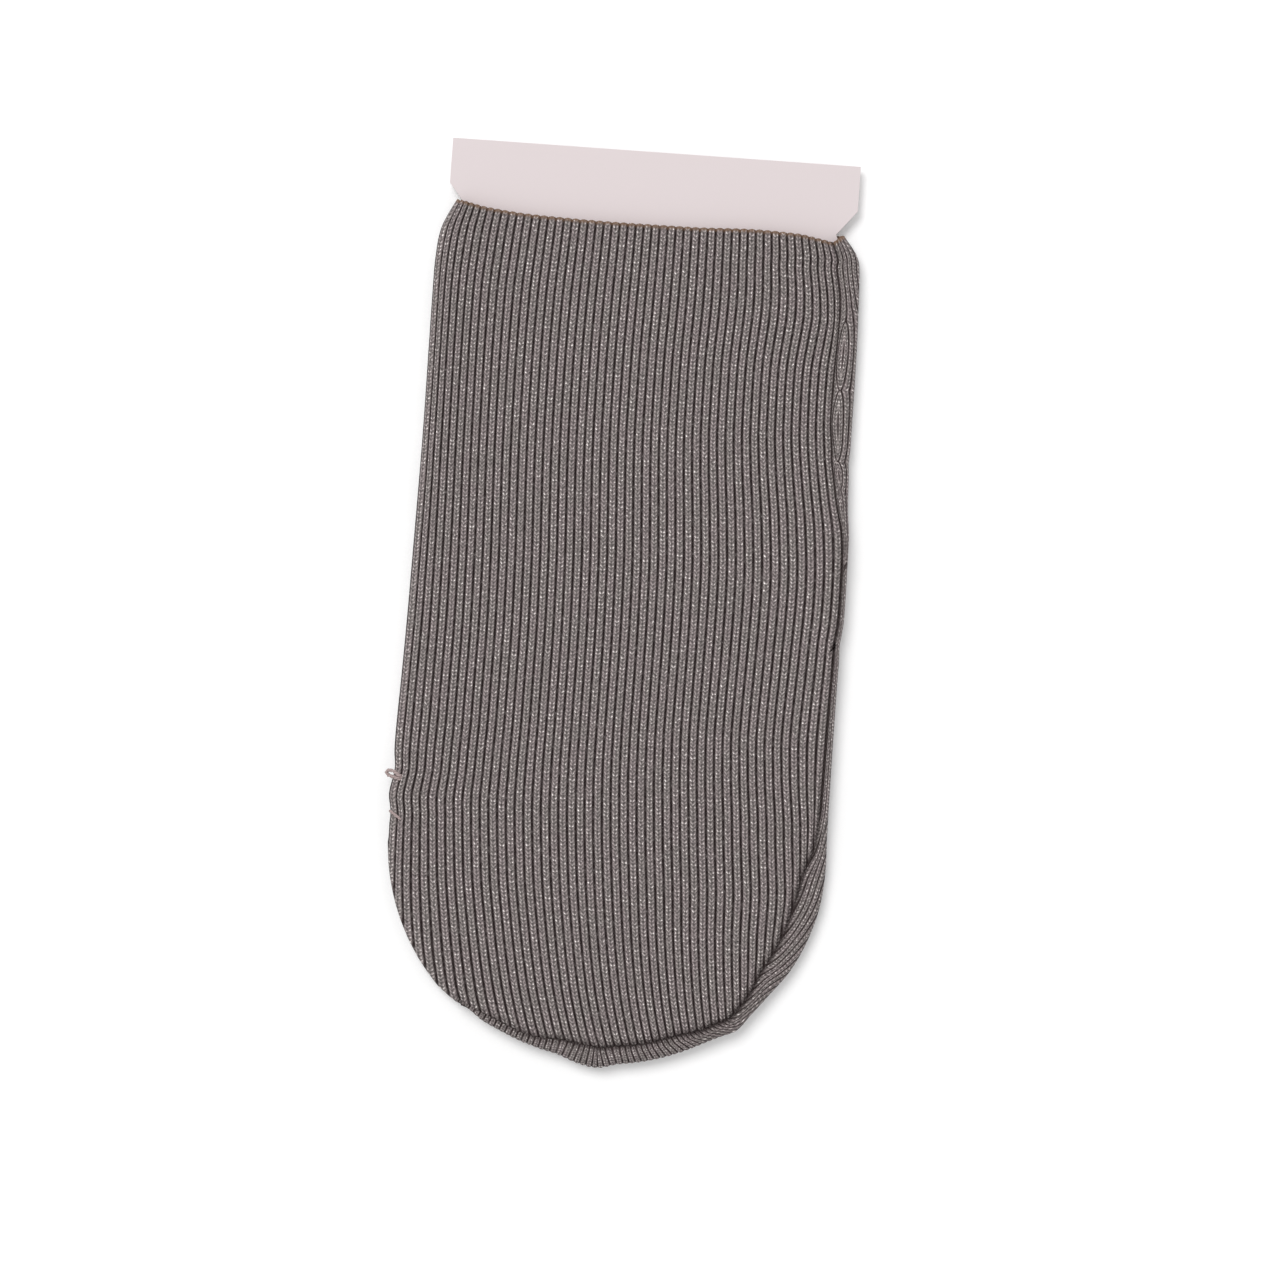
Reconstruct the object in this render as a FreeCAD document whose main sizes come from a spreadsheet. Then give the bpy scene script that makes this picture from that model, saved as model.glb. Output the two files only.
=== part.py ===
import FreeCAD, Part
import math
import os

import Sketcher

# A finger sleeve for touch-screen play, lying flat as it is sold. It is one
# piece of rib knit, folded along its left side and sewn round the bottom and up
# the right side, with a thin card inside that keeps it flat.
# X runs across the sleeve, Y from its closed tip to its open mouth, Z is up.

Vector = FreeCAD.Vector
doc = FreeCAD.newDocument("finger_sleeve")

# Driving sizes, in millimetres
driving_sizes = {
    "sleeve_length": 44.5,
    "sleeve_width": 23.1,
    "side_taper": 0.3,
    "shoulder_drop": 1.9,
    "mouth_inset": 1.1,
    "mouth_curve": 90.0,
    "fabric_thickness": 0.55,
    "rib_height": 0.15,
    "rib_pitch": 0.44,
    "rib_width": 0.3,
    "rim_rib_width": 0.28,
    "rim_fan_top": 6.2,
    "seam_edge_inset": 0.2,
    "seam_shift": 0.76,
    "seam_rise": 0.84,
    "seam_start": 3.4,
    "seam_leave_drop": 1.15,
    "seam_bend": 12.0,
    "seam_side_inset": 0.6,
    "seam_mouth_inset": 0.75,
    "seam_mouth_bend": 7.0,
    "groove_depth": 0.28,
    "thread_diameter": 0.2,
    "thread_play": 0.015,
    "card_thickness": 0.4,
    "card_play": 0.1,
    "card_edge_play": 0.2,
    "card_reach": 3.65,
    "card_head_inset": 0.8,
    "card_notch_height": 1.3,
    "fold_bevel": 0.4,
    "overrun": 1.0,
    "overlap": 0.08,
}
sheet = doc.addObject("Spreadsheet::Sheet", "Sizes")
for row, (alias, number) in enumerate(driving_sizes.items(), start=1):
    sheet.set(f"A{row}", alias)
    sheet.set(f"B{row}", str(number))
    sheet.setAlias(f"B{row}", alias)
doc.recompute()


class Length:
    """A length as a number, with the expression that ties it to the sheet."""

    def __init__(self, number, text):
        self.number = number
        self.text = text

    def joined(self, other, sign, number):
        other_text = other.text if isinstance(other, Length) else str(other)
        return Length(number, f"({self.text} {sign} {other_text})")

    def __add__(self, other):
        return self.joined(other, "+", self.number + plain(other))

    def __sub__(self, other):
        return self.joined(other, "-", self.number - plain(other))

    def __mul__(self, other):
        return self.joined(other, "*", self.number * plain(other))

    def __truediv__(self, other):
        return self.joined(other, "/", self.number / plain(other))

    def __neg__(self):
        return Length(-self.number, f"(-{self.text})")


def plain(value):
    """The number behind a length, or the number itself."""
    return value.number if isinstance(value, Length) else value


def size(alias):
    """The sheet's value with this alias."""
    return Length(float(sheet.get(alias)), f"Sizes.{alias}")


zero = Length(0.0, "0")
fabric = size("fabric_thickness")
thickness = fabric * 2 + size("card_thickness") + size("card_play")
middle = thickness / 2
half_width = size("sleeve_width") / 2
mouth = size("sleeve_length")
half_mouth = half_width - size("mouth_inset")
shoulder = mouth - size("shoulder_drop")
rib_height = size("rib_height")
seam_radius = half_width - size("seam_edge_inset")

# Cutting shapes and blanks run past the form that they meet by these
overrun = size("overrun")
overlap = size("overlap")


def bind(owner, path, length):
    """Ties one property of an object to the sheet."""
    owner.setExpression(path, length.text)


def flat_sketch(body, name, role, height=zero):
    """An empty sketch on one of the body's own origin planes."""
    sketch = body.newObject("Sketcher::SketchObject", name)
    plane = next(f for f in body.Origin.OriginFeatures if f.Role == role)
    sketch.AttachmentSupport = [(plane, "")]
    sketch.MapMode = "FlatFace"
    bind(sketch, "AttachmentOffset.Base.z", height)
    return sketch


def measure(sketch, kind, length, *places):
    """Adds one dimension to a sketch and ties it to the sheet."""
    constraint = Sketcher.Constraint(kind, *places, length.number)
    number = sketch.addConstraint(constraint)
    bind(sketch, f"Constraints[{number}]", length)


def pin(sketch, geometry, point, across, along):
    """Holds a point of a sketch at its distances from the sketch's origin."""
    measure(sketch, "DistanceX", across, -1, 1, geometry, point)
    measure(sketch, "DistanceY", along, -1, 1, geometry, point)


def spot(across, along):
    """A point in a sketch's plane."""
    return Vector(across.number, along.number, 0)


def straight_run(sketch, corners):
    """Draws lines through the corners, pins them and gives the first and last."""
    lines = []
    for start, end in zip(corners, corners[1:]):
        line = sketch.addGeometry(Part.LineSegment(spot(*start), spot(*end)))
        pin(sketch, line, 1, *start)
        if lines:
            sketch.addConstraint(Sketcher.Constraint("Coincident", lines[-1], 2, line, 1))
        lines.append(line)
    pin(sketch, lines[-1], 2, *corners[-1])
    return lines[0], lines[-1]


def closed_outline(sketch, corners):
    """Draws a closed outline of straight lines through the corners."""
    first, last = straight_run(sketch, corners)
    closing = Part.LineSegment(spot(*corners[-1]), spot(*corners[0]))
    closing_line = sketch.addGeometry(closing)
    sketch.addConstraint(Sketcher.Constraint("Coincident", last, 2, closing_line, 1))
    sketch.addConstraint(Sketcher.Constraint("Coincident", closing_line, 2, first, 1))


def round_end(sketch, radius, first_line, last_line):
    """Closes an outline below with the half circle of the sleeve's tip."""
    circle = Part.Circle(spot(zero, half_width), Vector(0, 0, 1), radius.number)
    arc = sketch.addGeometry(Part.ArcOfCircle(circle, math.pi, 2 * math.pi))
    measure(sketch, "DistanceY", half_width, -1, 1, arc, 3)
    sketch.addConstraint(Sketcher.Constraint("Coincident", arc, 1, last_line, 2))
    sketch.addConstraint(Sketcher.Constraint("Coincident", arc, 2, first_line, 1))


def mirrored(corners):
    """The corners up the right side, followed by their mirror down the left."""
    return corners + [(-across, along) for across, along in reversed(corners)]


def pad(body, sketch, name, length, midplane=False):
    """A pad of a sketch, up from its plane or to both sides of it."""
    feature = body.newObject("PartDesign::Pad", name)
    feature.Profile = sketch
    feature.Midplane = midplane
    bind(feature, "Length", length)
    doc.recompute()
    return feature


def sleeve_form(name, inset):
    """The sleeve's filled form with its bevelled folds, drawn in by an inset."""
    body = doc.addObject("PartDesign::Body", name)
    sketch = flat_sketch(body, f"{name}_outline", "XY_Plane", inset)
    reach = half_width - inset
    side = [
        (reach, half_width),
        (reach - size("side_taper"), shoulder),
        (half_mouth - inset, mouth),
    ]
    right_first, right_last = straight_run(sketch, side)
    left = [(-across, along) for across, along in reversed(side)]
    left_first, left_last = straight_run(sketch, left)
    curve = Part.Arc(
        spot(*side[-1]),
        Vector(0, mouth.number - half_mouth.number**2 / size("mouth_curve").number / 2, 0),
        spot(*left[0]),
    )
    dip = sketch.addGeometry(curve)
    for point, line, line_point in ((1, left_first, 1), (2, right_last, 2)):
        place = spot(*(left[0] if line_point == 1 else side[-1]))
        near_start = sketch.getPoint(dip, 1).distanceToPoint(place) < overlap.number
        dip_point = 1 if near_start else 2
        sketch.addConstraint(
            Sketcher.Constraint("Coincident", dip, dip_point, line, line_point)
        )
    measure(sketch, "Radius", size("mouth_curve"), dip)
    round_end(sketch, reach, right_first, left_last)
    block = pad(body, sketch, f"{name}_block", thickness - inset * 2)
    mouth_edge = mouth.number - size("shoulder_drop").number / 4
    rims = []
    for number, edge in enumerate(block.Shape.Edges, start=1):
        level = edge.BoundBox.ZLength < overlap.number
        if level and edge.CenterOfMass.y < mouth_edge:
            rims.append(f"Edge{number}")
    folds = body.newObject("PartDesign::Chamfer", f"{name}_folds")
    folds.Base = (block, rims)
    bevel_gain = 2 - math.sqrt(2)
    bind(folds, "Size", size("fold_bevel") - inset * bevel_gain)
    doc.recompute()
    return body


def rib_bars():
    """Straight ribs from front to back of the sleeve, side by side."""
    body = doc.addObject("PartDesign::Body", "rib_bars")
    pitch = size("rib_pitch")
    gaps = Length(
        math.floor(2 * half_width.number / pitch.number),
        f"floor({(half_width * 2).text} / {pitch.text})",
    )
    sketch = flat_sketch(body, "rib_section", "XZ_Plane")
    bind(sketch, "AttachmentOffset.Base.x", -(gaps * pitch) / 2)
    side = size("rib_width") / 2
    low = -overlap
    high = thickness + overlap
    closed_outline(sketch, [(-side, low), (side, low), (side, high), (-side, high)])
    rib = pad(body, sketch, "rib", (mouth + overrun) * 2, midplane=True)
    row = body.newObject("PartDesign::LinearPattern", "rib_row")
    row.Originals = [rib]
    axis = next(f for f in body.Origin.OriginFeatures if f.Role == "X_Axis")
    row.Direction = (axis, [""])
    bind(row, "Length", gaps * pitch)
    bind(row, "Occurrences", gaps + 1)
    body.Tip = row
    doc.recompute()
    return body


def seam_sketch(body, name, height):
    """The seam's line: round the bottom, up the right side and in at the mouth."""
    centre = (-size("seam_shift"), half_width + size("seam_rise"))
    radius = seam_radius
    bend = size("seam_bend")
    side = half_width - size("seam_side_inset")
    start = size("seam_start")
    leave = half_width - size("seam_leave_drop")
    end = mouth + overrun
    straight_end = mouth - size("seam_mouth_bend")
    lean = math.asin((centre[1].number - leave.number) / radius.number)
    first = math.asin((centre[1].number - start.number) / radius.number) + math.pi
    up = Vector(0, 0, 1)
    sketch = flat_sketch(body, name, "XY_Plane", height)
    bottom = Part.Circle(spot(*centre), up, radius.number)
    bottom_arc = Part.ArcOfCircle(bottom, first, 2 * math.pi - lean)
    leave_spot = bottom_arc.EndPoint
    bend_x = side.number - bend.number
    run = (bend_x + bend.number * math.cos(lean) - leave_spot.x) / math.sin(lean)
    bend_start = leave_spot + Vector(math.sin(lean), math.cos(lean), 0) * run
    bend_y = bend_start.y + bend.number * math.sin(lean)
    low = Part.Circle(Vector(bend_x, bend_y, 0), up, bend.number)
    high = Part.Circle(Vector(bend_x, straight_end.number, 0), up, bend.number)
    finish = spot(half_mouth - size("seam_mouth_inset"), end)
    reach = finish - high.Center
    turn = math.atan2(reach.y, reach.x) - math.acos(bend.number / reach.Length)
    low_arc = Part.ArcOfCircle(low, -lean, 0)
    high_arc = Part.ArcOfCircle(high, 0, turn)
    pieces = [
        bottom_arc,
        Part.LineSegment(leave_spot, bend_start),
        low_arc,
        Part.LineSegment(low_arc.EndPoint, high_arc.StartPoint),
        high_arc,
        Part.LineSegment(high_arc.EndPoint, finish),
    ]
    parts = [sketch.addGeometry(piece) for piece in pieces]
    for before, after in zip(parts, parts[1:]):
        sketch.addConstraint(Sketcher.Constraint("Tangent", before, 2, after, 1))
    bottom_part, _, low_part, side_part, high_part, mouth_part = parts
    pin(sketch, bottom_part, 3, *centre)
    measure(sketch, "Radius", radius, bottom_part)
    measure(sketch, "Radius", bend, low_part)
    measure(sketch, "Radius", bend, high_part)
    measure(sketch, "DistanceY", start, -1, 1, bottom_part, 1)
    measure(sketch, "DistanceY", leave, -1, 1, bottom_part, 2)
    sketch.addConstraint(Sketcher.Constraint("Vertical", side_part))
    measure(sketch, "DistanceX", side, -1, 1, side_part, 1)
    measure(sketch, "DistanceY", straight_end, -1, 1, side_part, 2)
    pin(sketch, mouth_part, 2, half_mouth - size("seam_mouth_inset"), end)
    return sketch


def seam_strand(name, height, radius, corner_count):
    """A section with equal corners, carried along the seam's line."""
    body = doc.addObject("PartDesign::Body", name)
    path = seam_sketch(body, f"{name}_path", height)
    doc.recompute()
    section = body.newObject("Sketcher::SketchObject", f"{name}_section")
    section.AttachmentSupport = [(path, "Edge1")]
    section.MapMode = "NormalToEdge"
    turns = [2 * math.pi * corner / corner_count for corner in range(corner_count)]
    corners = [(radius * math.cos(turn), radius * math.sin(turn)) for turn in turns]
    closed_outline(section, corners)
    doc.recompute()
    pipe = body.newObject("PartDesign::AdditivePipe", f"{name}_pipe")
    pipe.Profile = section
    pipe.Spine = (path, [])
    doc.recompute()
    return body


def rim_side(name, spread, level):
    """The upper part of the rolled rim, outside the seam, as a cutting shape."""
    body = doc.addObject("PartDesign::Body", name)
    sketch = flat_sketch(body, f"{name}_field", "XY_Plane", level)
    reach = half_width + overrun
    corners = [
        (-reach, size("rim_fan_top")),
        (-reach, -overrun),
        (reach, -overrun),
        (reach, size("rim_fan_top")),
    ]
    closed_outline(sketch, corners)
    pad(body, sketch, f"{name}_block", thickness)
    hole = flat_sketch(body, f"{name}_seam", "XY_Plane", level + thickness)
    radius = seam_radius + spread
    centre = (-size("seam_shift"), half_width + size("seam_rise"))
    circle = hole.addGeometry(
        Part.Circle(spot(*centre), Vector(0, 0, 1), radius.number)
    )
    pin(hole, circle, 3, *centre)
    measure(hole, "Radius", radius, circle)
    pocket = body.newObject("PartDesign::Pocket", f"{name}_face")
    pocket.Profile = hole
    pocket.Type = "ThroughAll"
    doc.recompute()
    return body


def rim_fan():
    """Ribs of the back, carried over the round edge: each leaves the edge as the
    mirror of its run on the back, so they fan out round the bottom."""
    pitch = size("rib_pitch").number
    width = size("rim_rib_width").number
    radius = half_width.number
    top = size("rim_fan_top").number
    count = math.floor(radius / pitch)
    reach = 2 * size("seam_rise").number + overrun.number
    blanks = []
    for place in range(-count, count + 1):
        across = place * pitch
        turn = math.asin(across / radius)
        along = radius - radius * math.cos(turn)
        if along > top:
            continue
        length = overrun.number + reach / math.cos(turn)
        blank = Part.makeBox(width, length, thickness.number)
        blank.translate(Vector(-width / 2, -overrun.number, 0))
        blank.rotate(Vector(0, 0, 0), Vector(0, 0, 1), math.degrees(2 * turn))
        blank.translate(Vector(across, along, middle.number - overlap.number))
        blanks.append(blank)
    fan = doc.addObject("Part::Feature", "rim_fan")
    fan.Shape = Part.makeCompound(blanks)
    return fan


def joined(kind, name, shapes):
    """The fuse or common of several objects."""
    result = doc.addObject(kind, name)
    result.Shapes = shapes
    result.Refine = False
    doc.recompute()
    return result


def less(name, base, tool):
    """One object with another cut away."""
    result = doc.addObject("Part::Cut", name)
    result.Base = base
    result.Tool = tool
    result.Refine = False
    doc.recompute()
    return result


def pocket_outline(name, inset, height, top):
    """The outline of what lies inside the fold, open past the mouth."""
    body = doc.addObject("PartDesign::Body", name)
    sketch = flat_sketch(body, f"{name}_outline", "XY_Plane", height)
    reach = half_width - inset
    side = [
        (reach, half_width),
        (reach - size("side_taper"), shoulder),
        (half_mouth - inset, mouth),
    ]
    return body, sketch, reach, side + top


def card_space():
    """The flat space between the two layers, open at the mouth."""
    top = [(half_mouth - fabric, mouth + overrun)]
    body, sketch, reach, side = pocket_outline("card_space", fabric, fabric, top)
    first, last = straight_run(sketch, mirrored(side))
    round_end(sketch, reach, first, last)
    pad(body, sketch, "card_space_block", thickness - fabric * 2)
    return body


def shaping_card():
    """The card: its body fills the sleeve, its head stands out of the mouth, and
    the neck between them is notched where the mouth sits."""
    head = half_width - size("card_head_inset")
    top = [
        (head, mouth + size("card_notch_height")),
        (head, mouth + size("card_reach")),
    ]
    inset = fabric + size("card_edge_play")
    body, sketch, reach, side = pocket_outline("shaping_card", inset, fabric, top)
    first, last = straight_run(sketch, mirrored(side))
    round_end(sketch, reach, first, last)
    pad(body, sketch, "shaping_card_block", size("card_thickness"))
    return body


def named_node(thing, name):
    """Names a finished sub-part and moves it so that the origin is at its middle."""
    thing.Label = name
    thing.setExpression(
        "Placement.Base.y", f"-({mouth.text} + {size('card_reach').text}) / 2"
    )
    return thing


groove = seam_strand("seam_groove", thickness, size("groove_depth"), 4)
form = sleeve_form("sleeve_form", zero)
skin = less("sleeve_skin", form, groove)
ground = less("sleeve_ground", sleeve_form("ground_form", rib_height), groove)
ribs = joined("Part::MultiCommon", "straight_ribs", [rib_bars(), skin])
furrow = size("groove_depth") + size("thread_play")
ribs_inside_seam = less("ribs_inside_seam", ribs, rim_side("rim_clear", -furrow, middle))
rim = rim_side("rim_keep", furrow, middle - overlap)
rim_ribs = joined("Part::MultiCommon", "rim_ribs", [rim_fan(), rim, skin])
ribbed = joined("Part::MultiFuse", "ribbed_form", [ground, ribs_inside_seam, rim_ribs])
sleeve = less("hollow_sleeve", ribbed, card_space())
card = shaping_card()
thread_radius = size("thread_diameter") / 2
thread_rise = (thread_radius + size("thread_play")) * math.sqrt(2)
thread_level = thickness - size("groove_depth") + thread_rise
stitching = seam_strand("stitching", thread_level, thread_radius, 6)
thread = joined("Part::MultiCommon", "laid_thread", [stitching, form])

nodes = [
    named_node(sleeve, "knit_sleeve"),
    named_node(thread, "seam_thread"),
    named_node(card, "shaping_card"),
]
doc.recompute()

for thing in doc.Objects:
    if "Invalid" in thing.State or "Error" in thing.State:
        raise RuntimeError(f"{thing.Name} failed: {thing.getStatusString()}")
os.makedirs("parts", exist_ok=True)
for node in nodes:
    shape = node.Shape
    if shape.isNull() or not shape.isValid():
        raise RuntimeError(f"{node.Label} has no valid shape")
    shape.exportStep(f"parts/{node.Label}.step")
    print(node.Label, len(shape.Solids), "solid", round(shape.Volume, 2), "cubic millimetres")
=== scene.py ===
import math

import bpy
import numpy as np
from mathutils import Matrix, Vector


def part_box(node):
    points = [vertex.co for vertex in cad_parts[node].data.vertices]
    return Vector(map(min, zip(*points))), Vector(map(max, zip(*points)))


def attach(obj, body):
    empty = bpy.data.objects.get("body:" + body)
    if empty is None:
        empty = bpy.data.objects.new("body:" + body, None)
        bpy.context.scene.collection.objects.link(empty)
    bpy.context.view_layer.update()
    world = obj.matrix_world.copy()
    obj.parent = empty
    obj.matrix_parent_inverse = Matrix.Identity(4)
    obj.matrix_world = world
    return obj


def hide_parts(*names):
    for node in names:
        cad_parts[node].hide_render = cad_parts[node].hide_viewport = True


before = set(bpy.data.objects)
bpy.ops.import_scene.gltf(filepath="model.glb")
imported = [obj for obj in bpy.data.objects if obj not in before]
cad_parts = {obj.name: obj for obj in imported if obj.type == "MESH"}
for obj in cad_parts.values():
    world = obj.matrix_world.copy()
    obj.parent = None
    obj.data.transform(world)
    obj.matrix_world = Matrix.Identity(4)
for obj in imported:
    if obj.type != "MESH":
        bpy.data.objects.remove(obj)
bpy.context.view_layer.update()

# The knit's front layer: one piece of 1x1 rib knit, grey taupe yarn with a
# silvery one, about 0.5 mm thick. It is folded from the back round its left
# edge and drawn down into the seam's furrow at the bottom and up the right.

# Sizes are in millimetres, up from the sleeve's tip and across from its middle.
# The solids give the place of the tip and the heights.
sleeve_low, sleeve_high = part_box("knit_sleeve")
mm = 0.001
tip = sleeve_low.y
top = sleeve_high.z / mm
middle = top / 2
pitch = 0.44
rib_depth = 0.2
wall = 0.32
tip_radius = 11.55
quarter = tip_radius * math.pi / 2


def flowing(where, stops):
    """A smooth line through given stops, each a place and its value, which
    never swings past them."""
    place, value = np.array(stops, float).T
    climb = np.diff(value) / np.diff(place)
    before, after = climb[:-1], climb[1:]
    same_way = before * after > 0
    total = np.where(same_way, before + after, 1)
    slope = np.concatenate(
        [climb[:1], np.where(same_way, 2 * before * after / total, 0), climb[-1:]]
    )
    k = np.clip(np.searchsorted(place, where) - 1, 0, len(place) - 2)
    step = place[k + 1] - place[k]
    t = np.clip((where - place[k]) / step, 0, 1)
    rise = value[k] * (2 * t**3 - 3 * t**2 + 1) + value[k + 1] * (3 * t**2 - 2 * t**3)
    return rise + step * (slope[k] * (t**3 - 2 * t**2 + t) + slope[k + 1] * (t**3 - t**2))


def side_width(y, side):
    """Half the sleeve's width at a height, on the right (1) or left (-1) side."""
    right = [(11.55, 11.55), (13, 11.5), (20, 11.46), (22.8, 11.48), (24.5, 11.58), (28.5, 11.53)]
    right += [(30.2, 11.36), (32.5, 11.28), (38, 11.24), (42, 11.12), (43, 11.04)]
    right += [(43.4, 10.92), (43.8, 10.67), (44.48, 10.13), (45.2, 9.6)]
    left = [(11.55, 11.55), (16, 11.55), (20, 11.45), (24, 11.36), (34, 11.25), (41, 11.27)]
    left += [(42.5, 11.2), (43.4, 11.05), (44, 10.81), (44.89, 10.36), (45.4, 10.1)]
    width = np.where(side > 0, flowing(y, right), flowing(y, left))
    pinches = [(1, 32.6, 0.05, 0.45), (1, 22.9, 0.04, 0.5)]
    pinches += [(-1, 14.9, 0.1, 0.6), (-1, 12.5, 0.05, 0.45), (-1, 13.5, -0.12, 0.6)]
    for pinch_side, place, depth, reach in pinches:
        dent = depth * np.exp(-(((y - place) / reach) ** 2))
        width = width - np.where(side * pinch_side > 0, dent, 0)
    return width


def edge(s):
    """The sleeve's outline s mm from its tip, up the right side where s is more
    than nought, with its outward direction. Up the straight sides this points
    straight across, and near the mouth it follows the outline again."""
    hand_sewn = [(-9.4, 0), (-7, -0.22), (-4.9, -0.32), (-2.2, -0.3), (-0.6, 0.03)]
    hand_sewn += [(0.25, 0.14), (1.5, -0.05), (3.5, -0.04), (5.9, 0.0), (6.9, 0.1)]
    hand_sewn += [(7.9, 0.3), (9.1, 0.1), (10.4, 0.03), (12.2, 0.11), (15.5, 0.09)]
    hand_sewn += [(17, 0.03), (18.2, 0.0)]

    def place(s):
        turn = np.clip(s / tip_radius, -math.pi / 2, math.pi / 2)
        radius = tip_radius + np.where(np.abs(s) < 18.2, flowing(s, hand_sewn), 0)
        past = np.maximum(np.abs(s) - quarter, 0)
        y = tip_radius - radius * np.cos(turn) + past
        x = radius * np.sin(turn)
        return np.where(past > 0, np.sign(s) * side_width(y, np.sign(s)), x), y

    x, y = place(s)
    ahead, behind = place(s + 0.25), place(s - 0.25)
    along_x, along_y = ahead[0] - behind[0], ahead[1] - behind[1]
    length = np.hypot(along_x, along_y)
    side = np.clip((np.abs(s) - quarter) / 0.6, 0, 1) * np.clip((49 - np.abs(s)) / 2, 0, 1)
    out_x = along_y / length * (1 - side) + np.sign(s) * side
    out_y = -along_x / length * (1 - side)
    return x, y, out_x, out_y


rim_start = -8.2
rim_end = quarter + 44.48 - tip_radius
rim_widths = [(rim_start, 0), (-7, 0.32), (-5.7, 0.46), (-4.5, 0.48), (-3.1, 0.6)]
rim_widths += [(-1.5, 0.95), (-0.2, 1.13), (1.6, 0.98), (4.7, 0.93), (6.4, 0.72)]
rim_widths += [(7.9, 0.78), (8.9, 0.72), (10.2, 0.92), (11, 1.16), (12.3, 1.27)]
rim_widths += [(15, 1.33), (17, 1.23), (17.9, 1.0), (18.8, 0.66), (21, 0.45)]
rim_widths += [(26, 0.36), (31.6, 0.3), (34, 0.3), (35.6, 0.4), (37.6, 0.7), (39.6, 0.95)]
rim_widths += [(41.6, 1.14), (43.6, 1.12), (45.6, 1.03), (47.5, 1.0), (49.5, 1.2)]
rim_widths += [(rim_end, 0.76)]


def seam(s):
    """The bottom of the seam's furrow, where front and rim meet."""
    x, y, out_x, out_y = edge(s)
    width = flowing(s, rim_widths)
    return x - out_x * width, y - out_y * width


def mouth(x, back):
    """Height of the cut mouth edge of the front or the back layer."""
    front = [(-10.6, 44.95), (-10.3, 44.88), (-8.6, 44.52), (-6, 44.3), (-2, 44.22)]
    front += [(2, 44.24), (5.5, 44.36), (7.6, 44.3), (8.8, 44.12), (9.62, 43.95)]
    rear = [(-10.6, 44.95), (-10.3, 44.88), (-7, 44.6), (0, 44.4), (7, 44.4), (10.13, 44.48)]
    return flowing(x, rear if back else front)


drift = [(0, 2.4), (2, 1.72), (4, 1.21), (7, 0.7), (10, 0.34), (13, 0.07), (16, -0.09)]
drift += [(18, -0.11), (22, -0.1), (26, -0.17), (29, -0.33), (32, -0.5), (34, -0.56)]
drift += [(37, -0.57), (40, -0.51), (43, -0.43), (45, -0.4)]
spread = [(0, 10.9), (2, 11.0), (4, 11.23), (7, 11.54), (10, 11.89), (13, 11.9), (16, 11.66)]
spread += [(18, 11.49), (22, 11.52), (26, 11.59), (29, 11.51), (32, 11.34), (34, 11.25)]
spread += [(37, 11.24), (40, 11.29), (43, 11.06), (45, 10.9)]
bend = [(0, -0.4), (4, -0.3), (7, -0.21), (10, -0.07), (13, -0.14), (16, 0.06), (18, 0.04)]
bend += [(22, 0.18), (26, 0.31), (29, 0.27), (32, 0.09), (34, -0.04), (37, -0.13), (40, -0.01)]
bend += [(43, 0.02), (45, 0.02)]
skew = [(0, -0.2), (4, -0.1), (7, 0.13), (13, 0.13), (16, -0.15), (18, -0.09), (22, -0.01)]
skew += [(26, 0.04), (34, 0.02), (37, 0.06), (40, 0.32), (43, 0.42), (45, 0.42)]
first_rib, last_rib = -26, 25
fold_phase = -25.72


def rib_course(u, y):
    """Across place of the furrow u, counted from the middle, where the front's
    knit lies free: it drifts and spreads a little on its way up the sleeve.
    The stops follow the furrows in the photo, rounded."""
    v = u / 26
    free = flowing(y, drift) + flowing(y, spread) * v
    return free + flowing(y, bend) * v**2 + flowing(y, skew) * v**3


def rib_place(u, y, back):
    """Across place of the knitted line u, held by the fold and by the seam."""
    left = -side_width(np.maximum(y, 12), -1)
    if back:
        right = side_width(np.maximum(y, 12), 1)
        share = u * pitch / tip_radius
        return np.where(share < 0, -left * share, right * share)
    to_fold = (left - rib_course(first_rib, y)) * np.exp((first_rib - u) / 5)
    return rib_course(u, y) + to_fold + pull_to_seam(u, y)


def pull_to_seam(u, y):
    """How far the seam draws the knitted line u across, most at the last rib."""
    seam_x = np.interp(np.clip(y, 15, 44), seam_line_y, seam_line_x)
    reach = flowing(y, [(40, 1.6), (42.5, 4.5)])
    return (seam_x - rib_course(last_rib, y)) * np.exp((u - last_rib) / reach)


seam_run = np.linspace(21.5, rim_end, 500)
seam_line_x, seam_line_y = seam(seam_run)
order = np.argsort(seam_line_y)
seam_line_x, seam_line_y = seam_line_x[order], seam_line_y[order]


def rib_phase(u, x, y):
    """The furrows' count at places of the back, by the front's course: near the
    fold and beside the mouth the ribs keep their course and leave over the edge."""
    course_x = x - pull_to_seam(u, y) * flowing(y, [(40.5, 1), (42.5, 0)])
    phase = u + 0.0
    for _ in range(4):
        phase = phase + (course_x - rib_course(phase, y)) / pitch
    return np.maximum(phase, fold_phase)


def lower_line(back):
    """Lowest stretch of a layer's outline, as its height over its place across."""
    if back:
        s = np.linspace(-quarter, quarter, 1500)
        x, y, _, _ = edge(s)
    else:
        s = np.linspace(-quarter, rim_start, 400)
        x, y, _, _ = edge(s)
        seam_x, seam_y = seam(np.linspace(rim_start, 25.5, 1500))
        x, y = np.append(x, seam_x), np.append(y, seam_y)
    rising = np.maximum.accumulate(x) <= x
    return x[rising], y[rising]


def rib_columns(steps, first, last):
    """Knitted lines across a layer, with the same steps in every rib."""
    ribs = range(math.floor(first), math.ceil(last))
    u = np.array([rib + step for rib in ribs for step in steps])
    u = u[(u > first + 0.02) & (u < last - 0.02)]
    return np.concatenate([[first], u, [last]])


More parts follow.
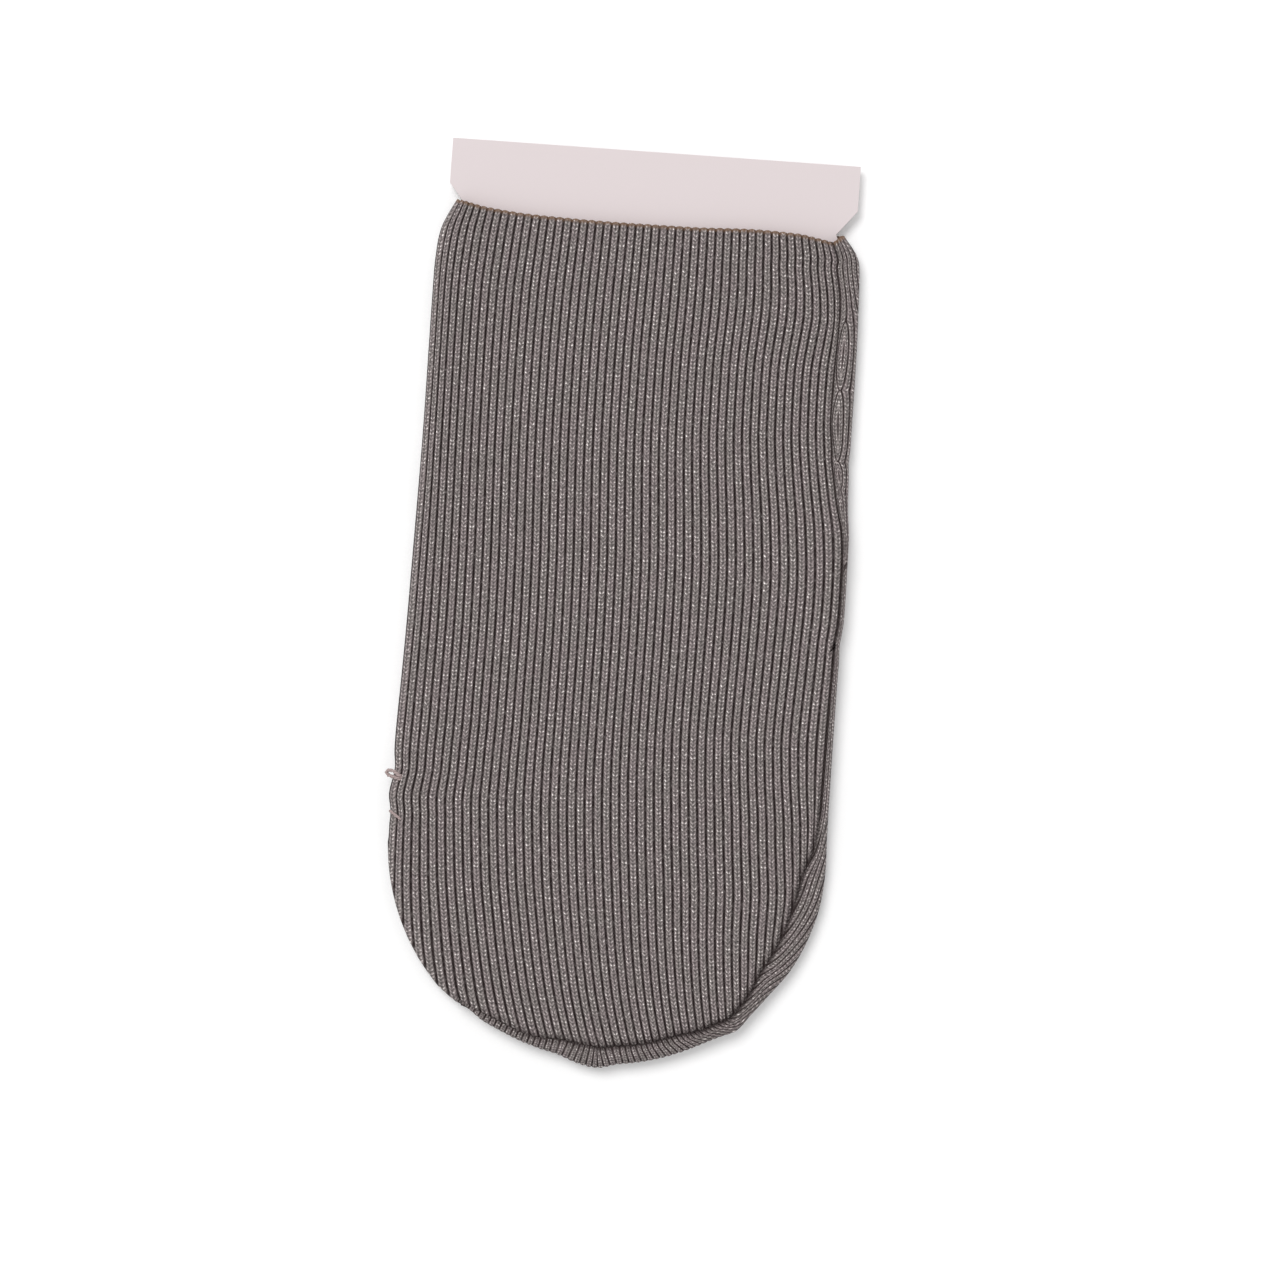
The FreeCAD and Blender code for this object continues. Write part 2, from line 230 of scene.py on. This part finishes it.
def layer_grid(columns, rows, back):
    """Across and up places of a layer's points, rib by rib from its lower end."""
    line_x, line_y = lower_line(back)
    low = np.full(len(columns), 5.0)
    high = np.full(len(columns), 44.3)
    for _ in range(90):
        low = low + 0.5 * (np.interp(rib_place(columns, low, back), line_x, line_y) - low)
        high = high + 0.5 * (mouth(rib_place(columns, high, back), back) - high)
    near = np.array([0, 0.04, 0.1, 0.18, 0.28, 0.4, 0.55, 0.75, 1.0, 1.3, 1.7])
    ends = np.array([0.7, 0.45, 0.28, 0.16, 0.08, 0.03, 0])
    share = np.linspace(0, 1, rows + 2)[1:-1, None]
    bottom, head = low + near[:, None], high - ends[:, None]
    between = bottom[-1] + (head[0] - bottom[-1]) * share
    y = np.vstack([bottom, between, head])
    u = np.broadcast_to(columns, y.shape)
    return u, rib_place(u, y, back), y, high


def nearest(x, y, line_x, line_y):
    """Distance to a line, and the number of its nearest point."""
    flat = np.stack([x.ravel(), y.ravel()], 1)
    line = np.stack([line_x, line_y], 1)
    found = np.empty(len(flat), int)
    for start in range(0, len(flat), 4000):
        part = flat[start : start + 4000]
        found[start : start + 4000] = np.argmin(
            ((part[:, None] - line[None]) ** 2).sum(2), 1
        )
    gap = line[found] - flat
    distance = np.hypot(*gap.T)
    return distance.reshape(x.shape), found.reshape(x.shape)


def crown(phase):
    """Height of a rib's broad crown over its furrows, from 0 to 1."""
    return np.sin(math.pi * (phase % 1)) ** 0.42


def surface_normals(points):
    down = np.gradient(points, axis=0)
    across = np.gradient(points, axis=1)
    normal = np.cross(across, down)
    length = np.linalg.norm(normal, axis=2, keepdims=True)
    return normal / np.maximum(length, 1e-9)


def fabric(name, points, phase, along, cut, painted_shade, thickness):
    """A knitted sheet: a grid shaped to the points, with its rib and stitch
    places as UV maps, thickened to the fabric's wall."""
    rows, columns = phase.shape
    bpy.ops.object.select_all(action="DESELECT")
    bpy.ops.mesh.primitive_grid_add(x_subdivisions=columns - 1, y_subdivisions=rows - 1)
    sheet = bpy.context.object
    sheet.name = name
    mesh = sheet.data
    place = points * mm
    place[..., 1] += tip
    mesh.vertices.foreach_set("co", place.reshape(-1))
    corner = np.empty(len(mesh.loops), int)
    mesh.loops.foreach_get("vertex_index", corner)
    mesh.uv_layers[0].name = "ribs"
    mesh.uv_layers.new(name="wear")
    # The second map holds the distance from the singed cut edge and the painted shade.
    for layer, pair in (("ribs", (phase, along)), ("wear", (cut, painted_shade))):
        uv = np.stack([pair[0].ravel()[corner], pair[1].ravel()[corner]], 1)
        mesh.uv_layers[layer].data.foreach_set("uv", uv.reshape(-1))
    mesh.update()
    thicken = sheet.modifiers.new("wall", "SOLIDIFY")
    thicken.thickness = thickness * mm
    thicken.offset = -1
    bpy.ops.object.modifier_apply(modifier=thicken.name)
    bpy.ops.object.shade_smooth()
    return sheet


stitch_height = 0.2


def knit_effect():
    """Node group for the knit: rib furrows darkened with painted shade, slanting stitches,
    painted shade down each rib between its stitch legs, silvery specks painted as glints,
    painted shade in the seam's crease and the singed cut edge."""
    group = bpy.data.node_groups.new("rib_knit", "ShaderNodeTree")
    sockets = group.interface
    for name in ("Yarn", "Second yarn", "Silver glint", "Furrow shade", "Singed"):
        sockets.new_socket(name, in_out="INPUT", socket_type="NodeSocketColor")
    sockets.new_socket("Color", in_out="OUTPUT", socket_type="NodeSocketColor")
    sockets.new_socket("Height", in_out="OUTPUT", socket_type="NodeSocketFloat")
    nodes, links = group.nodes, group.links
    inputs = nodes.new("NodeGroupInput")
    outputs = nodes.new("NodeGroupOutput")

    def math_node(operation, *values, clamp=False):
        node = nodes.new("ShaderNodeMath")
        node.operation = operation
        node.use_clamp = clamp
        for socket, value in zip(node.inputs, values):
            if isinstance(value, (int, float)):
                socket.default_value = value
            else:
                links.new(value, socket)
        return node.outputs[0]

    def ramp(value, low, high):
        node = nodes.new("ShaderNodeMapRange")
        node.interpolation_type = "SMOOTHSTEP"
        links.new(value, node.inputs["Value"])
        node.inputs["From Min"].default_value = low
        node.inputs["From Max"].default_value = high
        return node.outputs["Result"]

    def mixed(share, first, second):
        node = nodes.new("ShaderNodeMix")
        node.data_type = "RGBA"
        for socket, value in ((0, share), (6, first), (7, second)):
            links.new(value, node.inputs[socket])
        return node.outputs[2]

    def uv_places(layer):
        source = nodes.new("ShaderNodeUVMap")
        source.uv_map = layer
        split = nodes.new("ShaderNodeSeparateXYZ")
        links.new(source.outputs[0], split.inputs[0])
        return split.outputs[0], split.outputs[1]

    phase, along = uv_places("ribs")
    cut, painted_shade = uv_places("wear")
    inside = math_node("FRACT", phase)
    off_crown = math_node("ABSOLUTE", math_node("SUBTRACT", inside, 0.5))
    from_crown = math_node("MULTIPLY", off_crown, 2)
    rib = nodes.new("ShaderNodeTexWhiteNoise")
    rib.noise_dimensions = "1D"
    links.new(math_node("FLOOR", phase), rib.inputs["W"])
    shift = math_node("MULTIPLY", rib.outputs["Value"], 6.28)

    def cloth_noise(across, up):
        place = nodes.new("ShaderNodeCombineXYZ")
        links.new(math_node("MULTIPLY", phase, across), place.inputs[0])
        links.new(math_node("MULTIPLY", along, up), place.inputs[1])
        noise = nodes.new("ShaderNodeTexNoise")
        noise.inputs["Scale"].default_value = 1.0
        noise.inputs["Detail"].default_value = 2.0
        links.new(place.outputs[0], noise.inputs["Vector"])
        return noise.outputs["Fac"]

    fleck = cloth_noise(4.2, 7.0)
    legs = math_node("MULTIPLY", from_crown, -5.0)
    slant = math_node("ADD", math_node("MULTIPLY", along, 6.28 / stitch_height), legs)
    loose = math_node("MULTIPLY", fleck, 5.0)
    stitch = math_node("SINE", math_node("ADD", math_node("ADD", slant, shift), loose))
    ragged = math_node("MULTIPLY_ADD", fleck, 0.2, math_node("MULTIPLY_ADD", stitch, 0.05, -0.1))
    furrow = ramp(math_node("ADD", from_crown, ragged), 0.6, 0.84)
    # Painted shade down the middle of each rib, between the two legs of its stitches; it also
    # dims the glints there.
    leg_groove_shade = math_node("MULTIPLY_ADD", ramp(from_crown, 0.04, 0.36), 0.52, 0.48)
    glint = ramp(math_node("MULTIPLY_ADD", stitch, 0.08, fleck), 0.6, 0.76)
    # Painted shade between the slanting stitches, times the yarn's random fleck tone.
    shade = math_node("MULTIPLY_ADD", stitch, 0.36, 0.92)
    shade = math_node("MULTIPLY", shade, math_node("MULTIPLY_ADD", fleck, 2.3, -0.18))
    shade = math_node("MULTIPLY", shade, leg_groove_shade)
    glint = math_node("MULTIPLY", glint, leg_groove_shade)

    second_share = ramp(cloth_noise(0.6, 0.5), 0.4, 0.6)
    twist = mixed(second_share, inputs.outputs["Yarn"], inputs.outputs["Second yarn"])
    # Painted highlight: glints of the silver yarn, painted as a light colour.
    yarn = mixed(glint, twist, inputs.outputs["Silver glint"])
    dim = nodes.new("ShaderNodeMix")
    dim.data_type = "RGBA"
    dim.blend_type = "MULTIPLY"
    dim.inputs[0].default_value = 1.0
    grey = nodes.new("ShaderNodeCombineColor")
    for channel in range(3):
        links.new(shade, grey.inputs[channel])
    links.new(yarn, dim.inputs[6])
    links.new(grey.outputs[0], dim.inputs[7])
    edge_burn = ramp(math_node("MULTIPLY_ADD", fleck, 0.16, cut), 0.3, 0.12)
    filled = math_node("MULTIPLY_ADD", cloth_noise(1.9, 3.1), 0.9, 0.5, clamp=True)
    # Painted shade: the rib furrows are darkened toward the furrow shade colour.
    furrow_shade_share = math_node("MULTIPLY", furrow, filled)
    knitted = mixed(furrow_shade_share, dim.outputs[2], inputs.outputs["Furrow shade"])
    burnt = mixed(math_node("MULTIPLY", edge_burn, 0.8), knitted, inputs.outputs["Singed"])
    # Painted shade in the seam's crease and at the fold spot, in the furrow shade colour.
    links.new(mixed(painted_shade, burnt, inputs.outputs["Furrow shade"]), outputs.inputs["Color"])
    thread_height = math_node("MULTIPLY_ADD", stitch, 0.5, 0.5)
    thread_height = math_node("MULTIPLY", thread_height, math_node("SUBTRACT", 1.0, furrow))
    links.new(thread_height, outputs.inputs["Height"])
    return group


def knit_material():
    material = bpy.data.materials.new("rib_knit")
    material.use_nodes = True
    nodes, links = material.node_tree.nodes, material.node_tree.links
    shader = nodes["Principled BSDF"]
    shader.inputs["Roughness"].default_value = 0.78
    shader.inputs["Specular IOR Level"].default_value = 0.25
    knit = nodes.new("ShaderNodeGroup")
    knit.node_tree = knit_effect()
    for socket, colour in (
        ("Yarn", (0.345, 0.292, 0.29, 1)),
        ("Second yarn", (0.33, 0.29, 0.28, 1)),
        # Silver glint: the colour of the painted highlights on the silver yarn's specks.
        ("Silver glint", (0.66, 0.62, 0.60, 1)),
        # Furrow shade: the colour of the painted shade in the rib furrows and the seam's crease.
        ("Furrow shade", (0.024, 0.014, 0.014, 1)),
        ("Singed", (0.22, 0.13, 0.08, 1)),
    ):
        knit.inputs[socket].default_value = colour
    bump = nodes.new("ShaderNodeBump")
    bump.inputs["Strength"].default_value = 0.6
    bump.inputs["Distance"].default_value = 0.00006
    links.new(knit.outputs["Color"], shader.inputs["Base Color"])
    links.new(knit.outputs["Height"], bump.inputs["Height"])
    links.new(bump.outputs["Normal"], shader.inputs["Normal"])
    return material


knit = knit_material()


def layer(name, steps, rows, back):
    """The front or the back layer, from its lower outline to its mouth. The
    front's ribs are its columns; the back's are counted by the front's course."""
    left_end = -quarter - 33.4
    if back:
        first, last = -tip_radius / pitch, tip_radius / pitch
        s = np.linspace(left_end, quarter + 33, 5200)
    else:
        first, last = first_rib, last_rib
        s = np.linspace(left_end, rim_start, 2600)
    columns = rib_columns(steps, first, last)
    u, x, y, high = layer_grid(columns, rows, back)
    edge_x, edge_y, _, _ = edge(s)
    to_edge, found = nearest(x, y, edge_x, edge_y)
    roll = np.clip(1 - to_edge / middle, 0, 1)
    z = middle + middle * np.sqrt(1 - roll**2)
    relief = np.clip(to_edge / 0.12, 0, 1)
    if back:
        tucked = flowing(s[found], tucks) * np.clip(1 - to_edge / 0.25, 0, 1)
        z = top - z
        by_fold = 0.2 * np.exp(-(((x + 11.2) / 0.16) ** 2))
        for place, reach in ((14.0, 0.45), (11.8, 0.5)):
            z = z - by_fold * np.exp(-(((y - place) / reach) ** 2))
        # Painted shade: a small dark spot at the fold, where the hole is.
        painted_shade = np.exp(-(((x + 11.29) / 0.08) ** 2) - ((y - 12.74) / 0.07) ** 2)
        u = rib_phase(u, x, y)
    else:
        run = np.linspace(rim_start, rim_end, 3000)
        seam_x, seam_y = seam(run)
        to_seam, at = nearest(x, y, seam_x, seam_y)
        sunk = np.exp(-((to_seam / flowing(run[at], furrow_reach)) ** 2))
        under_rim = 0.04 * np.exp(-((to_seam / 0.05) ** 2))
        z = z - sunk * flowing(run[at], furrow_depths) - under_rim
        relief = relief * (1 - 0.75 * sunk)
        # Painted shade: darkening along the seam's crease, where the front dips under the rim.
        painted_shade = flowing(run[at], crease_shade) * np.exp(-((to_seam / 0.12) ** 2))
    cut = high - y
    points = np.stack([x, y, z], 2)
    if back:
        points, u, relief = points[:, ::-1], u[:, ::-1], relief[:, ::-1]
        y, cut, painted_shade = y[:, ::-1], cut[:, ::-1], painted_shade[:, ::-1]
    lowered = rib_depth * (1 - crown(u)) * relief
    if back:
        lowered = np.maximum(lowered, tucked[:, ::-1])
    points = points - surface_normals(points) * lowered[..., None]
    points[..., 1] += 0.05 * np.sin(math.pi * (u % 1)) * np.clip(1 - cut / 0.4, 0, 1)
    return fabric(name, points, u, y, cut, painted_shade, wall)


tucks = [(-9, 0), (-8, 0.08), (6.6, 0.1), (8, 0), (60, 0)]
scallops = [(-9, 0), (-8, 0.35), (-2, 0.5), (6.6, 0.5), (8, 0), (60, 0)]
furrow_depths = [(rim_start, 0.1), (-6, 0.26), (3, 0.4), (16, 0.42), (20, 0.28)]
furrow_depths += [(24, 0.17), (45, 0.17), (rim_end, 0.2)]
furrow_reach = [(rim_start, 0.18), (0, 0.24), (15, 0.26), (23, 0.13), (rim_end, 0.13)]
# Strength of the painted shade along the seam's crease, by place along the seam.
crease_shade = [(rim_start, 0.1), (-4, 0.35), (-1, 0.75), (17, 0.8), (20, 0.5), (23, 0), (60, 0)]
rib_steps = (0, 0.08, 0.24, 0.42, 0.58, 0.76, 0.92)
front = layer("knit_front", rib_steps, 110, False)
front.data.materials.append(knit)
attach(front, "root")
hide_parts("knit_sleeve")


# The knit's back layer: the same piece of knit, ribbed up to its edge all round.
# It lies on the table. The two dimples and the hole that it has at its fold
# belong to the front's left edge; the hole is only a small spot of painted shade.
back_steps = (0, 0.1, 0.28, 0.5, 0.72, 0.9)
rear = layer("knit_back", back_steps, 66, True)
rear.data.materials.append(knit)
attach(rear, "root")
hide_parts("knit_sleeve")


# The rolled rim: the back layer's knit, carried over the edge and sewn down in
# the furrow. Its ribs slant across the roll round the bottom and lie along the
# edge up the right side. Round the bottom they stand closer here than real ones.
def rim():
    bottom = np.arange(rim_start, 10, 0.055)
    rise = np.arange(10, rim_end, 0.12)
    s = np.append(np.append(bottom, rise), rim_end)[None, :]
    t = np.linspace(1, 0, 41)[:, None]
    edge_x, edge_y, out_x, out_y = edge(s)
    width = flowing(s, rim_widths)
    over = (1 - np.cos(math.pi * t)) / 2
    inward = width * (1 - over) + 0.24 * np.clip(1 - (s - rim_start) / 1.8, 0, 1)
    x = edge_x - out_x * inward
    y = edge_y - out_y * inward
    depth = flowing(s, furrow_depths) + 0.02
    crest = 0.42
    up = np.clip(over / crest, 0, 1)
    out = np.clip((over - crest) / (1 - crest), 0, 1)
    rising = top - depth * (1 - np.sin(math.pi / 2 * up) ** 1.2)
    falling = middle + middle * np.sqrt(1 - out**2)
    z = np.where(over < crest, rising, falling)
    phase = flowing(s, fold_ribs) + flowing(s, rim_ribs) * (1 - over)
    phase = gathered(s, over, phase)
    points = np.stack(np.broadcast_arrays(x, y, z), 2)
    normal = surface_normals(points)
    relief = np.clip((1 - t) / 0.3, 0, 1)
    relief = np.maximum(relief, flowing(s, scallops)) * np.clip(0.25 + over / 0.25, 0, 1)
    shallow = np.clip(width * 0.3, 0.04, np.where(s > 10, 0.15, rib_depth))
    lowered = shallow * (1 - crown(phase)) * relief
    points = points - normal * lowered[..., None]
    turn = np.clip((s - 6) / 5, 0, 1)
    run = np.cumsum(turn * np.gradient(s[0])[None, :], axis=1)
    along = over * width * 1.4 * (1 - turn) + run
    cut = np.broadcast_to(rim_end - s, x.shape)
    # Painted shade along the rim's side of the seam's crease.
    painted_shade = flowing(s, crease_shade) * np.exp(-(((width * over) / 0.1) ** 2))
    return fabric("knit_rim", points, phase, along, cut, painted_shade, 0.08)


def gathered(s, over, phase):
    """The ribs up the right side, opened into long eyes between the pinches of
    the seam, with the ribs beside them bent round them."""
    pinches = [34.1, 35.65, 37.7, 39.15, 42.9, 46.5]
    eye, eye_width = 0.29, 0.28
    at = np.clip(np.searchsorted(pinches, s) - 1, 0, len(pinches) - 2)
    low, high = np.array(pinches)[at], np.array(pinches)[at + 1]
    up = np.clip((s - low) / (high - low) * 2 - 1, -1, 1)
    half = eye_width * np.sqrt(1 - up**2)
    off = np.abs(over - eye)
    rings = seam_line - 1 + (half - off) / eye_width
    inner = seam_line - over / np.maximum(eye - half, 0.01)
    outer = seam_line - 1 - 1.5 * (over - eye - half) / (1 - eye - half)
    eyes = np.where(off < half, rings, np.where(over > eye, outer, inner))
    share = np.clip((s - 33.2) / 0.9, 0, 1) * np.clip((47.3 - s) / 0.8, 0, 1)
    return phase + (eyes - phase) * share


seam_line = 38
fold_ribs = [(rim_start, -24.5), (0, 0), (6, 18), (8, 23.9), (10, 26.5), (12, 29), (15, 31.7)]
fold_ribs += [(18, 33.4), (21, 36.25), (34, 36.25), (46, 35.5), (49.5, 33.4), (rim_end, 34.2)]
rim_ribs = [(rim_start, 0), (0, 0.1), (3, 0.8), (5, 1.6), (6.5, 3.0), (8, 4.0), (10, 4.5)]
rim_ribs += [(12, 4.6), (15, 4.3), (18, 3.6), (21, 1.75), (34, 1.75), (46, 2.5)]
rim_ribs += [(49.5, 4.6), (rim_end, 3.8)]
rolled = rim()
rolled.data.materials.append(knit)
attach(rolled, "root")
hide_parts("knit_sleeve")


# The sewing thread: fine two-ply thread, pinkish grey, run along the furrow. At
# the fold on the left it is tacked over the edge twice and ends in a short tail.
def plies(name, route, ply, spread, twist):
    """A twisted thread along a route, as one mesh."""
    route = np.array(route, float)
    step = np.linalg.norm(np.diff(route, axis=0), axis=1)
    run = np.append(0, np.cumsum(step))
    fine = np.arange(0, run[-1], 0.07)
    path = np.stack([np.interp(fine, run, route[:, axis]) for axis in range(3)], 1)
    ahead = np.gradient(path, axis=0)
    ahead /= np.linalg.norm(ahead, axis=1, keepdims=True)
    side = np.cross(ahead, [0, 0, 1.0])
    side /= np.maximum(np.linalg.norm(side, axis=1, keepdims=True), 1e-6)
    lift = np.cross(side, ahead)
    curve = bpy.data.curves.new(name, "CURVE")
    curve.dimensions = "3D"
    curve.bevel_depth = ply * mm
    curve.bevel_resolution = 1
    curve.use_fill_caps = True
    for start in (0, math.pi):
        turn = (start + fine * 2 * math.pi / twist)[:, None]
        points = path + spread * (side * np.cos(turn) + lift * np.sin(turn))
        spline = curve.splines.new("POLY")
        spline.points.add(len(points) - 1)
        placed = np.concatenate([points * mm, np.ones((len(points), 1))], 1)
        placed[:, 1] += tip
        spline.points.foreach_set("co", placed.reshape(-1))
    strand = bpy.data.objects.new(name, curve)
    bpy.context.collection.objects.link(strand)
    bpy.ops.object.select_all(action="DESELECT")
    strand.select_set(True)
    bpy.context.view_layer.objects.active = strand
    bpy.ops.object.convert(target="MESH")
    bpy.ops.object.shade_smooth()
    return strand


sewn = np.linspace(rim_start + 0.4, rim_end - 0.5, 500)
sewn_x, sewn_y = seam(sewn)
sewn_z = top - flowing(sewn, furrow_depths) - 0.1
furrow_thread = plies(
    "seam_thread_run", np.stack([sewn_x, sewn_y, sewn_z], 1), 0.035, 0.03, 0.4
)
tail = [(-10.95, 14.42, 1.35), (-11.15, 14.52, 1.55), (-11.45, 14.72, 1.55), (-11.7, 14.76, 1.45)]
tail += [(-11.85, 14.64, 1.3), (-11.74, 14.48, 1.3), (-11.48, 14.42, 1.45), (-11.2, 14.36, 1.5)]
tail += [(-11.02, 14.28, 1.3)]
tail_thread = plies("seam_thread_tail", tail, 0.06, 0.05, 0.4)
tack = [(-10.8, 12.2, 1.3), (-10.95, 12.26, 1.56), (-11.2, 12.42, 1.5), (-11.42, 12.54, 1.25)]
tack += [(-11.55, 12.6, 0.8)]
tack_thread = plies("seam_thread_tack", tack, 0.045, 0.04, 0.36)
cotton = bpy.data.materials.new("thread")
cotton.use_nodes = True
spun = cotton.node_tree.nodes["Principled BSDF"]
spun.inputs["Base Color"].default_value = (0.42, 0.33, 0.32, 1)
spun.inputs["Roughness"].default_value = 0.8
# Painted shade: the run in the furrow is the same pinkish grey thread, painted near black as if
# in the furrow's shade.
furrow_thread_shade = bpy.data.materials.new("thread_in_furrow_painted_shade")
furrow_thread_shade.use_nodes = True
shaded_thread_shader = furrow_thread_shade.node_tree.nodes["Principled BSDF"]
shaded_thread_shader.inputs["Base Color"].default_value = (0.05, 0.035, 0.033, 1)
shaded_thread_shader.inputs["Roughness"].default_value = 0.9
for strand, material in ((furrow_thread, furrow_thread_shade), (tail_thread, cotton), (tack_thread, cotton)):
    strand.data.materials.append(material)
    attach(strand, "root")
    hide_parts("seam_thread")


# The card inside: thin smooth board, matt and slightly pink, cut with bevelled
# shoulders, whose head stands out of the mouth.
card = bpy.data.objects["shaping_card"]
paper = bpy.data.materials.new("card")
paper.use_nodes = True
board = paper.node_tree.nodes["Principled BSDF"]
board.inputs["Base Color"].default_value = (0.714, 0.638, 0.644, 1)
board.inputs["Roughness"].default_value = 0.7
board.inputs["Specular IOR Level"].default_value = 0.2
card.data.materials.clear()
card.data.materials.append(paper)


# The stage: a white table, even light from all round and a soft lamp above.
bpy.ops.object.select_all(action="DESELECT")
bpy.ops.mesh.primitive_plane_add(size=0.8, location=(0, 0, -0.00002))
table = bpy.context.object
table.name = "table"
white = bpy.data.materials.new("table_white")
white.use_nodes = True
surface = white.node_tree.nodes["Principled BSDF"]
surface.inputs["Base Color"].default_value = (0.93, 0.93, 0.93, 1)
surface.inputs["Roughness"].default_value = 0.9
surface.inputs["Specular IOR Level"].default_value = 0.0
path = white.node_tree.nodes.new("ShaderNodeLightPath")
surface.inputs["Emission Color"].default_value = (1, 1, 1, 1)
seen = white.node_tree.nodes.new("ShaderNodeMath")
seen.operation = "MULTIPLY"
seen.inputs[1].default_value = 0.12
white.node_tree.links.new(path.outputs["Is Camera Ray"], seen.inputs[0])
white.node_tree.links.new(seen.outputs[0], surface.inputs["Emission Strength"])
table.data.materials.append(white)

world = bpy.data.worlds.new("even_light")
bpy.context.scene.world = world
world.use_nodes = True
world.node_tree.nodes["Background"].inputs["Color"].default_value = (1, 1, 1, 1)
world.node_tree.nodes["Background"].inputs["Strength"].default_value = 0.62

bpy.ops.object.light_add(type="AREA", location=(-0.12, 0.16, 0.42))
lamp = bpy.context.object
lamp.name = "soft_lamp"
lamp.data.shape = "DISK"
lamp.data.size = 0.22
lamp.data.energy = 1.1
lamp.rotation_euler = lamp.location.to_track_quat("Z", "Y").to_euler()

bpy.ops.object.camera_add(location=(0.00108, -0.0017, 0.1887))
camera = bpy.context.object
camera.name = "camera"
camera.data.lens = 100
camera.data.sensor_width = 36
camera.rotation_euler = (0, 0, math.radians(4.1))
bpy.context.scene.camera = camera

bpy.context.scene.view_settings.view_transform = "Standard"
